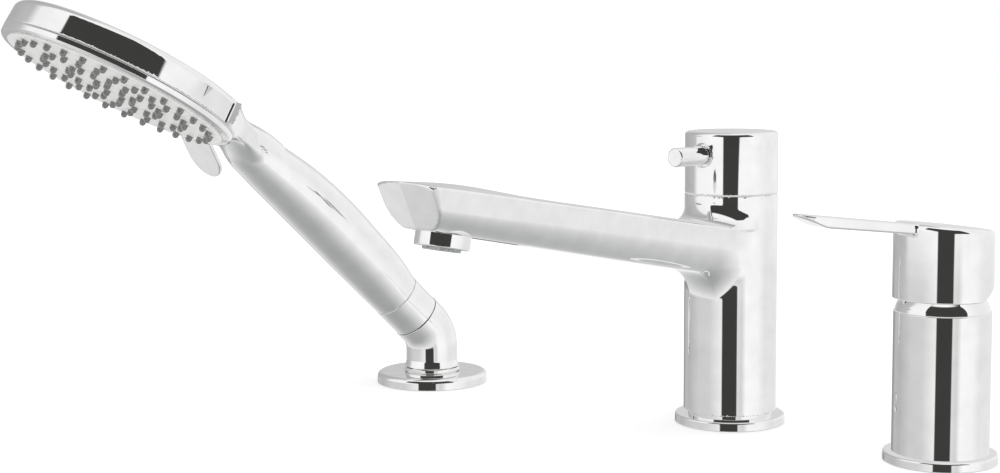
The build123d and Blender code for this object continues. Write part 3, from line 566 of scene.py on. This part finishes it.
cast_piece("diverter_cap", knob_distance, (-24, -24, 114.5), (24, 24, 147), 0.42, spout_place, turned_chrome,
           "diverter", ["diverter_knob"])
pin_place = Place((0, 0, pin_z), x=(1, 0, 0), y=(0, 0, 1))
turned_piece("diverter_pin", [(0.01, 19.5, 0.004), (4.7, 19.5, 0.2), (4.7, 43.5, 0.8), (0.01, 43.5, 0.004)], pin_place,
             turned_chrome, "diverter", ["knob_pin"], around=72)

# %% [markdown]
# Under the nose sits the aerator: a chrome ring, square to the underside of the arm, with a plastic
# insert whose fine grid breaks the water up.

# %% Aerator
aerator_reach = 194.0
aerator_z = arm_root_z + aerator_reach * arm_rise - 18.67
aerator_place = Place((0, -aerator_reach, aerator_z), x=(1, 0, 0), y=(0, 0.9803, -0.1975))
turned_piece("aerator_ring", [(8.5, -6.0, 0.25), (12.0, -6.0, 0.6), (12.0, 0.0, 0.1), (8.5, 0.0, 0.1)],
             aerator_place, turned_chrome, "deck_units", ["aerator_housing"], around=96)
turned_piece("aerator_nozzle", [(0.01, -5.2, 0.004), (6.9, -5.2, 0.1), (7.0, -7.3, 0.2), (8.3, -7.3, 0.25),
                                (8.3, 2.0, 0.1), (0.01, 2.0, 0.004)],
             aerator_place, plain_finish("aerator_acetal", "#cfd1d1", "#8f9393", 1.1, 0.4, depth=0.0004), "deck_units",
             ["aerator_insert"], around=96)

# %% [markdown]
# ## The mixer
# The mixer stands in a plain sleeve. A domed ring closes it, and over that sits the cap, which
# turns and tips with its blade. The cap is open below, so that it can tip over the dome, and its
# back is cut away below for the same reason.

# %% Sleeve and dome
turned_piece("mixer_sleeve", [(18.85, 4.3, 0.1), (21.85, 4.3, 0.15), (21.85, 68.8, 0.35), (18.85, 68.8, 0.2)],
             mixer_place, turned_chrome, "deck_units", ["mixer_body"])
turned_piece("mixer_dome", [(16.5, 68.85, 0.1), (21.3, 68.85, 0.2), (20.6, 72.0, 9.0), (18.7, 74.8, 6.0),
                            (16.5, 77.8, 0.3)],
             mixer_place, turned_chrome, "deck_units", ["dome_ring"])


# %% Cap and blade
cap_radius, cap_foot_z, cap_crown_z, cap_roof_z = 22.45, 74.6, 107.5, 102.1
boss_radius, boss_foot_z = 8.0, 86.1
bevel_depth, bevel_height = 17.0, 9.0
blade_half, blade_reach, blade_tip_z = 7.0, 80.6, 116.5


def above_plane(y, z, at_y, at_z, fall):
    """Distance above a plane through (at_y, at_z) that falls by a share of y."""
    return (z - at_z + (y - at_y) * fall) / math.hypot(1.0, fall)


def cap_distance(p):
    """A sloping, hollow cap with a cut back, and a thin blade that leaves flush with its top.

    The blade's end is round in plan, and its underside rises there to a thin edge."""
    x, y, z = np.abs(p[..., 0]), p[..., 1], p[..., 2]
    across = np.hypot(x, y)
    top = above_plane(y, z, 0.0, cap_crown_z, 5.0 / 44.9)
    shell = round_cut(round_cut(across - cap_radius, top, 2.5), cap_foot_z - z, 0.45)
    back = ((y - cap_radius + bevel_depth) * bevel_height - (z - cap_foot_z) * bevel_depth)
    shell = round_cut(shell, back / math.hypot(bevel_height, bevel_depth), 0.7)
    boss = np.maximum(across - boss_radius, boss_foot_z - z)
    hollow = np.maximum(np.maximum(across - 19.25, z - cap_roof_z), -boss)
    upper = above_plane(y, z, -7.5, 107.8, 0.119)
    lower = -above_plane(y, z, -cap_radius, 105.0, 0.1115)
    rising = -above_plane(y, z, -68.0, 110.1, 0.42)
    tip = -blade_reach - y + (blade_tip_z - z) * 0.333
    plan = round_cut(x - blade_half, tip, 6.8)
    blade = round_cut(round_cut(round_cut(plan, upper, 0.8), lower, 1.1), rising, 0.6)
    blade = np.maximum(blade, y + 1.0)
    whole = round_union(shell, blade, 1.2)
    return np.maximum(whole, -hollow)


cast_piece("mixer_handle", cap_distance, (-24, -83, 73.5), (24, 24, 119), 0.5, lever_place, cast_chrome,
           "mixer_lever", ["lever_cap"])

# %% [markdown]
# ## The hand shower's holder
# A bent tube carries the handset. It swivels on the flange's collar, and the hose comes up through
# it. Its surface is a circle carried along a path: up, round a bend of 20 mm and out along the
# handle's axis. Inside the mouth the circle shrinks to the conical seat and comes back as the bore.


# %% Elbow
def elbow_path(length):
    """Point and direction along the elbow's centre line: a line, an arc of 45 degrees and a line."""
    straight = bend_z - elbow_foot_z
    arc = bend_radius * lean
    turn = np.clip((length - straight) / bend_radius, 0, lean)
    rest = np.maximum(length - straight - arc, 0)
    z = elbow_foot_z + np.minimum(length, straight) + bend_radius * np.sin(turn) + rest * math.cos(lean)
    y = -bend_radius * (1 - np.cos(turn)) - rest * math.sin(lean)
    return np.stack([0 * y, y, z], axis=-1), np.stack([0 * y, -np.sin(turn), np.cos(turn)], axis=-1)


def elbow_piece():
    """Rows of circles of a radius at a length, with normals from the profile of (length, radius)."""
    total = bend_z - elbow_foot_z + bend_radius * lean + bend_run
    corners = [(14.8, 0.0, 0.25), (14.3, 4.0, 6.0), (14.2, total, 0.2), (11.3, total, 0.3),
               (9.9, total - 15.0, 0.3), (9.3, total - 15.2, 0.1), (9.3, 0.0, 0.2)]
    profile, slopes = rounded_profile([corners[i] for i in (6, 0, 1, 2, 3, 4, 5)], 6)
    # Straight runs of the profile cross the bend, so points are added along each of them.
    radius, length, nr, nl = [], [], [], []
    for a, b, na, nb in zip(profile, np.roll(profile, -1, axis=0), slopes, np.roll(slopes, -1, axis=0)):
        count = max(1, int(np.hypot(*(b - a)) / 1.2))
        share = np.arange(count)[:, None] / count
        point, normal = a + (b - a) * share, na + (nb - na) * share
        radius.append(point[:, 0]); length.append(point[:, 1])
        nr.append(normal[:, 0]); nl.append(normal[:, 1])
    radius, length, nr, nl = (np.concatenate(v)[:, None, None] for v in (radius, length, nr, nl))
    centre, along = elbow_path(length[:, 0, 0])
    angle = np.linspace(0, 2 * np.pi, 128, endpoint=False)
    across = np.cross(along, np.array([1.0, 0, 0]))
    ring = np.cos(angle)[None, :, None] * np.array([1.0, 0, 0]) + np.sin(angle)[None, :, None] * across[:, None]
    points = centre[:, None] + radius * ring
    normals = nr * ring + nl * along[:, None]
    quads, triangles = grid_faces(len(radius), 128, ring=True)
    return make_piece("holder_bend", holder_place.point(points.reshape(-1, 3)), quads, triangles,
                      holder_place.turn(normals.reshape(-1, 3)), cast_chrome, "holder_swivel",
                      ["holder_elbow"])


elbow_piece()

# %% [markdown]
# The hose ends in a conical nut that rests in the elbow's mouth. The handset screws onto it.

# %% Cone nut
turned_piece("hose_nut", [(4.0, -14.4, 0.3), (9.6, -14.4, 0.5), (11.0, 0.3, 0.2), (13.9, 0.3, 0.2), (13.9, 17.8, 0.15),
                          (7.3, 17.8, 0.2), (7.3, 8.6, 0.1), (4.0, 8.6, 0.2)],
             handle_place, turned_chrome, "hose_cone", ["hose_cone_nut"], around=128)

# %% [markdown]
# ## The handset
# Handle and head are one moulding in plated plastic. The handle swells in the middle, thins
# towards the head and runs into it through a web with hollow flanks. The back of the head is a
# shallow dome over a nearly upright wall.

# %% Sections of the handle
handle_start, handle_end = 18.0, 156.0
handle_share = np.array([0.0, 0.0725, 0.2609, 0.4493, 0.6377, 0.8116, 0.913, 1.0])
handle_z = handle_start + (handle_end - handle_start) * handle_share
handle_wide = np.array([13.8, 14.5, 15.8, 16.2, 15.8, 14.6, 13.4, 12.2])
handle_high = np.array([13.8, 14.8, 15.9, 16.2, 15.2, 12.9, 11.2, 6.4])
handle_rise = np.array([0.0, 0.9, 1.6, 1.9, 0.8, -1.4, -2.2, -1.6])
head_radius, head_foot, head_back = 62.0, 3.85, 23.5
web_start, web_end, web_foot, web_back = 40.0, 92.0, 4.9, 16.0
# The dome is a sphere that rises by 6.5 over a radius of 61.4.
dome_radius = (61.4 ** 2 + 6.5 ** 2) / (2 * 6.5)
# The hollow flank touches the head's rim 35 degrees off the handle and passes a point of the web.
flank = head_radius * np.array([math.sin(math.radians(35)), math.cos(math.radians(35))])
web_point = np.array([13.0, 76.0])
hollow_radius = ((flank - web_point) ** 2).sum() / (2 * (web_point - flank).dot(flank / head_radius))
hollow_centre = flank * (1 + hollow_radius / head_radius)
print("hollow of the web:", hollow_radius.round(2), hollow_centre.round(2))


def handset_distance(p):
    """Ellipses along the handle, joined by fillets to the web and to the head's wall and dome."""
    wide, high, rise = (through(p[..., 2], handle_z, a) for a in (handle_wide, handle_high, handle_rise))
    x, y = p[..., 0], p[..., 1] - rise
    off = np.hypot(x, y)
    handle = off - off / np.maximum(np.hypot(x / wide, y / high), 1e-6)
    handle = np.where(off < 0.1, -6.0, handle)
    handle = round_cut(handle, p[..., 2] - handle_end, 0.5)
    q = (p - head_local.origin) @ head_local.axes.T
    u, v, w = np.abs(q[..., 0]), q[..., 1], q[..., 2]
    across = np.hypot(u, v)
    wall = (across - head_radius + (w - head_foot) * 0.0456) * 0.999
    dome = np.sqrt(across ** 2 + (w - head_back + dome_radius) ** 2) - dome_radius
    head = round_cut(round_cut(wall, dome, 2.6), head_foot - w, 0.8)
    side = hollow_radius - np.hypot(u - hollow_centre[0], v - hollow_centre[1])
    web = round_cut(np.maximum(side, v - web_end), w - web_back, 2.5)
    web = np.maximum(round_cut(web, web_foot - w, 1.5), web_start - v)
    near = np.clip((p[..., 2] - 118.0) / 20.0, 0, 1)
    joined = round_union(round_union(handle, web, 1.0 + 5.0 * near), head, 3.0)
    joined = np.where(across < head_radius + 0.35, round_cut(joined, head_foot - w, 0.8), joined)
    return round_cut(joined, handle_start - p[..., 2], 0.15)


cast_piece("handset_body", handset_distance, (-64, -50, 16), (64, 22, 277), 0.85, handle_place, moulded_chrome,
           "handset", ["handset_shell"])

# %% [markdown]
# ## The spray head's moving face
# A ring with a thumb tab turns the plate with the nozzles. The ring is turned; the tab is a thin
# plate with a round end and soft edges that leaves the ring at a slant.


# %% Ring, tab and plate
tab_half, tab_straight, tab_thickness = 12.4, 11.1, 2.2


def tab_distance(p):
    """A stadium end in plan, thin across, with rounded edges."""
    x, y, z = np.abs(p[..., 0]), p[..., 1], p[..., 2]
    plan = np.where(y > tab_straight, np.hypot(x, y - tab_straight), x) - tab_half
    plan = np.maximum(plan, 0.3 - y)
    return round_cut(round_cut(plan, z, 0.6), -tab_thickness - z, 0.6)


turned_piece("spray_ring", [(58.0, 0.0, 0.2), (60.8, 0.0, 0.3), (61.8, 1.0, 0.5), (61.95, 3.5, 0.25), (58.0, 3.5, 0.2)],
             head_place, moulded_chrome, "spray_disc", ["selector_ring"], around=256)
azimuth, drop = math.radians(15.0), math.radians(30.0)
outward = np.array([-math.sin(azimuth), math.cos(azimuth), 0])
tab_local = Place(58.3 * outward + np.array([0, 0, 1.3]), x=(math.cos(azimuth), math.sin(azimuth), 0),
                  y=outward * math.cos(drop) - np.array([0, 0, math.sin(drop)]))
cast_piece("spray_tab", tab_distance, (-13.5, -0.6, -3), (13.5, 24.5, 1), 0.3, head_place.inside(tab_local),
           moulded_chrome, "spray_disc")
turned_piece("spray_face", [(0.01, -0.6, 0.004), (57.9, -0.6, 0.5), (57.9, 1.8, 0.2), (0.01, 1.8, 0.004)], head_place,
             face_plastic, "spray_disc", ["spray_plate"], around=256)


# %% Nozzles
nozzle_radius, nozzle_centre = 1.7, 2.1


def nozzles(name, rings, around=20):
    """The same small profile round every point of the spray pattern, in one array.

    A nozzle is a half sphere on a short cone that flares into the plate."""
    spots = []
    for radius, number, first in rings:
        angle = np.radians(first + 360.0 * np.arange(number) / number)
        spots.append(np.stack([radius * np.cos(angle), radius * np.sin(angle), 0 * angle], axis=-1))
    spots = np.concatenate(spots)
    turn = np.radians(np.array([90.0, 72, 54, 36, 18, 0]))
    radius = np.concatenate([nozzle_radius * np.cos(turn), [1.75, 1.95, 0.0]])
    height = np.concatenate([-nozzle_centre - nozzle_radius * np.sin(turn), [-1.0, -0.3, 0.0]])
    ray = np.concatenate([np.cos(turn), [1.0, 0.9, 0.0]])
    lift = np.concatenate([-np.sin(turn), [0.0, -0.4, 1.0]])
    angle = np.linspace(0, 2 * np.pi, around, endpoint=False)
    spin = np.stack([np.cos(angle), np.sin(angle), 0 * angle], axis=-1)
    up = np.array([0, 0, 1.0])
    shape = radius[:, None, None] * spin + height[:, None, None] * up
    normal = ray[:, None, None] * spin + lift[:, None, None] * up
    points = (spots[:, None, None] + shape).reshape(-1, 3)
    normals = np.broadcast_to(normal, (len(spots),) + normal.shape).reshape(-1, 3)
    quads, triangles = grid_faces(len(radius), around, ring=False, poles=(True, True))
    step = len(radius) * around * np.arange(len(spots))[:, None, None]
    return make_piece(name, head_place.point(points), (quads + step).reshape(-1, 4),
                      (triangles + step).reshape(-1, 3), head_place.turn(normals), nozzle_rubber, "spray_disc",
                      ["nozzle_sheet"])


nozzles("spray_nozzles", [(10.5, 8, 0.0), (24.5, 18, 10.0), (38.0, 24, 7.5), (51.5, 30, 6.0)])

# %% [markdown]
# ## The studio
# The set stands on a white deck in a white room. Chrome shows the room, so the room matters more
# than the lamp: mirrors see a white surround with a few soft greys and one dark gap on the camera's
# side, which widens upwards. Dull surfaces see an even light, at a level at which a colour renders
# about as it is written.

# %% Deck
deck_mesh = bpy.data.meshes.new("deck")
deck_half, deck_z = 4, -0.0001
deck_mesh.from_pydata([(x * deck_half, y * deck_half, deck_z) for x, y in ((-1, -1), (1, -1), (1, 1), (-1, 1))], [],
                      [(0, 1, 2, 3)])
deck = bpy.data.objects.new("deck", deck_mesh)
bpy.context.scene.collection.objects.link(deck)
deck.visible_glossy = False
deck_paint = bpy.data.materials.new("white_deck")
deck_paint.use_nodes = True
tree = deck_paint.node_tree
tree.nodes.clear()
spot = add_node(tree, "ShaderNodeTexCoord").outputs["Object"]
speck = add_node(tree, "ShaderNodeTexNoise", {"Vector": spot, "Scale": 30.0, "Detail": 2.0})
paint = colour_ramp(tree, speck.outputs["Fac"], [(0.3, "#fdfdfd"), (0.7, "#ffffff")])
diffuse = add_node(tree, "ShaderNodeBsdfDiffuse", {"Color": paint})
ray = add_node(tree, "ShaderNodeLightPath")
lift = add_node(tree, "ShaderNodeMath", {0: ray.outputs["Is Camera Ray"], 1: 0.2}, operation="MULTIPLY")
glow = add_node(tree, "ShaderNodeEmission", {"Color": linear("#ffffff"), "Strength": lift.outputs["Value"]})
both = add_node(tree, "ShaderNodeAddShader", {0: diffuse.outputs["BSDF"], 1: glow.outputs["Emission"]})
add_node(tree, "ShaderNodeOutputMaterial", {"Surface": both.outputs["Shader"]})
deck_mesh.materials.append(deck_paint)
print("deck", tuple(deck.dimensions))

# %% Room seen by mirrors
camera_way = math.radians(-44.7)
world = bpy.data.worlds.new("studio_room")
bpy.context.scene.world = world
world.use_nodes = True
tree = world.node_tree
tree.nodes.clear()
ray = add_node(tree, "ShaderNodeLightPath")
way = add_node(tree, "ShaderNodeTexCoord").outputs["Generated"]
# The direction is turned so that the camera's side lies at the middle of the ramp, 0.5, and its
# left, back and right follow at 0.25, 0 or 1, and 0.75. One degree is 1 / 360.
turned_way = add_node(tree, "ShaderNodeMapping", {"Vector": way, "Rotation": (0, 0, -camera_way)})
around = add_node(tree, "ShaderNodeTexGradient", {"Vector": turned_way.outputs["Vector"]}, gradient_type="RADIAL")
height = add_node(tree, "ShaderNodeSeparateXYZ", {"Vector": way}).outputs["Z"]


def step_between(value, low, high, start=0.0, end=1.0):
    """Smooth step of a socket from start at low to end at high."""
    return add_node(tree, "ShaderNodeMapRange", {"Value": value, "From Min": low, "From Max": high, "To Min": start,
                                                 "To Max": end}, interpolation_type="SMOOTHSTEP").outputs["Result"]


def ahead(degrees):
    """Place on the ramp of a direction, in degrees to the right of the camera's side."""
    return 0.5 + degrees / 360


def calculate(operation, *values):
    """One arithmetic step between sockets and numbers."""
    return add_node(tree, "ShaderNodeMath", dict(enumerate(values)), operation=operation).outputs["Value"]


def layered(share, below, above):
    """Colour below, covered by the colour above as far as the share goes."""
    return add_node(tree, "ShaderNodeMix", {0: share, 6: below, 7: above}, data_type="RGBA").outputs[2]


low_wall = colour_ramp(tree, around.outputs["Fac"], [
    (0.000, "#8c8c8c"), (0.045, "#9c9c9c"), (0.080, "#c0c0c0"), (0.150, "#b9b9b9"), (0.250, "#d2d2d2"),
    (0.337, "#d6d6d6"), (0.400, "#ececec"), (0.450, "#fbfbfb"), (0.560, "#d9d9d9"), (0.590, "#ffffff"),
    (0.680, "#fbfbfb"), (0.740, "#ebebeb"), (0.880, "#eaeaea"), (1.000, "#f6f6f6")])
high_wall = colour_ramp(tree, around.outputs["Fac"], [
    (0.000, "#cfcfcf"), (0.080, "#b0b0b0"), (0.190, "#c0c0c0"), (0.225, "#f6f6f6"), (0.340, "#ffffff"),
    (0.640, "#ffffff"), (0.750, "#f2f2f2"), (0.900, "#f8f8f8"), (1.000, "#cfcfcf")])
wall = layered(step_between(height, -0.155, -0.09), low_wall, high_wall)
# The dark gap lies between two edges that lean apart upwards, in degrees from the camera's side.
left_edge = step_between(height, -0.04, 0.3, ahead(-27), ahead(-56))
right_edge = step_between(height, -0.10, 0.14, ahead(10), ahead(49))
from_left = step_between(calculate("SUBTRACT", around.outputs["Fac"], left_edge), -0.004, 0.004)
from_right = step_between(calculate("SUBTRACT", right_edge, around.outputs["Fac"]), -0.004, 0.004)
gap = calculate("MULTIPLY", calculate("MULTIPLY", from_left, from_right), step_between(height, -0.36, -0.27))
gap = calculate("MULTIPLY", gap, step_between(height, 0.86, 0.8))
wall = layered(gap, wall, linear("#3e3e3c"))
level = add_node(tree, "ShaderNodeMapRange", {"Value": height, "From Min": -1.0, "From Max": 1.0})
ground = colour_ramp(tree, level.outputs["Result"], [
    (0.00, "#a4a5a5"), (0.06, "#aeafaf"), (0.12, "#c0c1c1"), (0.20, "#d6d6d6"), (0.28, "#eaeaea"), (0.36, "#f8f8f8"),
    (0.42, "#ffffff")])
pattern = layered(step_between(height, -0.42, -0.30), ground, wall)
mirror_room = add_node(tree, "ShaderNodeBackground", {"Color": pattern, "Strength": 1.0})
even_room = add_node(tree, "ShaderNodeBackground", {"Color": linear("#ffffff"), "Strength": 0.8})
white_room = add_node(tree, "ShaderNodeBackground", {"Color": linear("#ffffff"), "Strength": 1.0})
seen = add_node(tree, "ShaderNodeMixShader", {0: ray.outputs["Is Glossy Ray"], 1: even_room.outputs["Background"],
                                              2: mirror_room.outputs["Background"]})
seen = add_node(tree, "ShaderNodeMixShader", {0: ray.outputs["Is Camera Ray"], 1: seen.outputs["Shader"],
                                              2: white_room.outputs["Background"]})
add_node(tree, "ShaderNodeOutputWorld", {"Surface": seen.outputs["Shader"]})
print("room ready")

# %% Soft lamp
lamp_data = bpy.data.lights.new("soft_lamp", "SUN")
lamp_data.angle = math.radians(50.0)
lamp_data.energy = 0.8
lamp = bpy.data.objects.new("soft_lamp", lamp_data)
lamp.rotation_euler = (math.radians(29), 0, math.radians(29))
lamp.visible_glossy = False
bpy.context.scene.collection.objects.link(lamp)
print("lamp strength", lamp_data.energy)

# %% [markdown]
# ## The camera
# The camera's place was worked out from the photograph: a long lens, a little above the deck, with
# the frame's centre slightly off its axis, which the shift gives back.

# %% Camera
right = np.array([0.7034, 0.7108, 0.0])
forward = np.array([-0.7067, 0.6994, -0.1068])
forward /= np.linalg.norm(forward)
right -= forward * right.dot(forward)
right /= np.linalg.norm(right)
up = np.cross(right, forward)
roll = 0.006
right, up = right - roll * up, up + roll * right
camera_data = bpy.data.cameras.new("photo_camera")
camera_data.sensor_width = 36.0
camera_data.lens = 64.8
camera_data.shift_x = -0.0077
camera_data.shift_y = -0.0115
camera = bpy.data.objects.new("photo_camera", camera_data)
matrix = np.eye(4)
matrix[:3, 0], matrix[:3, 1], matrix[:3, 2] = right, up, -forward
matrix[:3, 3] = (0.5542, -0.7045, 0.1950)
camera.matrix_world = Matrix(matrix.tolist())
bpy.context.scene.collection.objects.link(camera)
bpy.context.scene.camera = camera
bpy.context.scene.view_settings.view_transform = "Standard"
print("camera at", tuple(round(c, 4) for c in camera.location))

# %% [markdown]
# ## Close the scene
# The view layer is updated, so that every piece stands in its place.

# %% The end
bpy.context.view_layer.update()
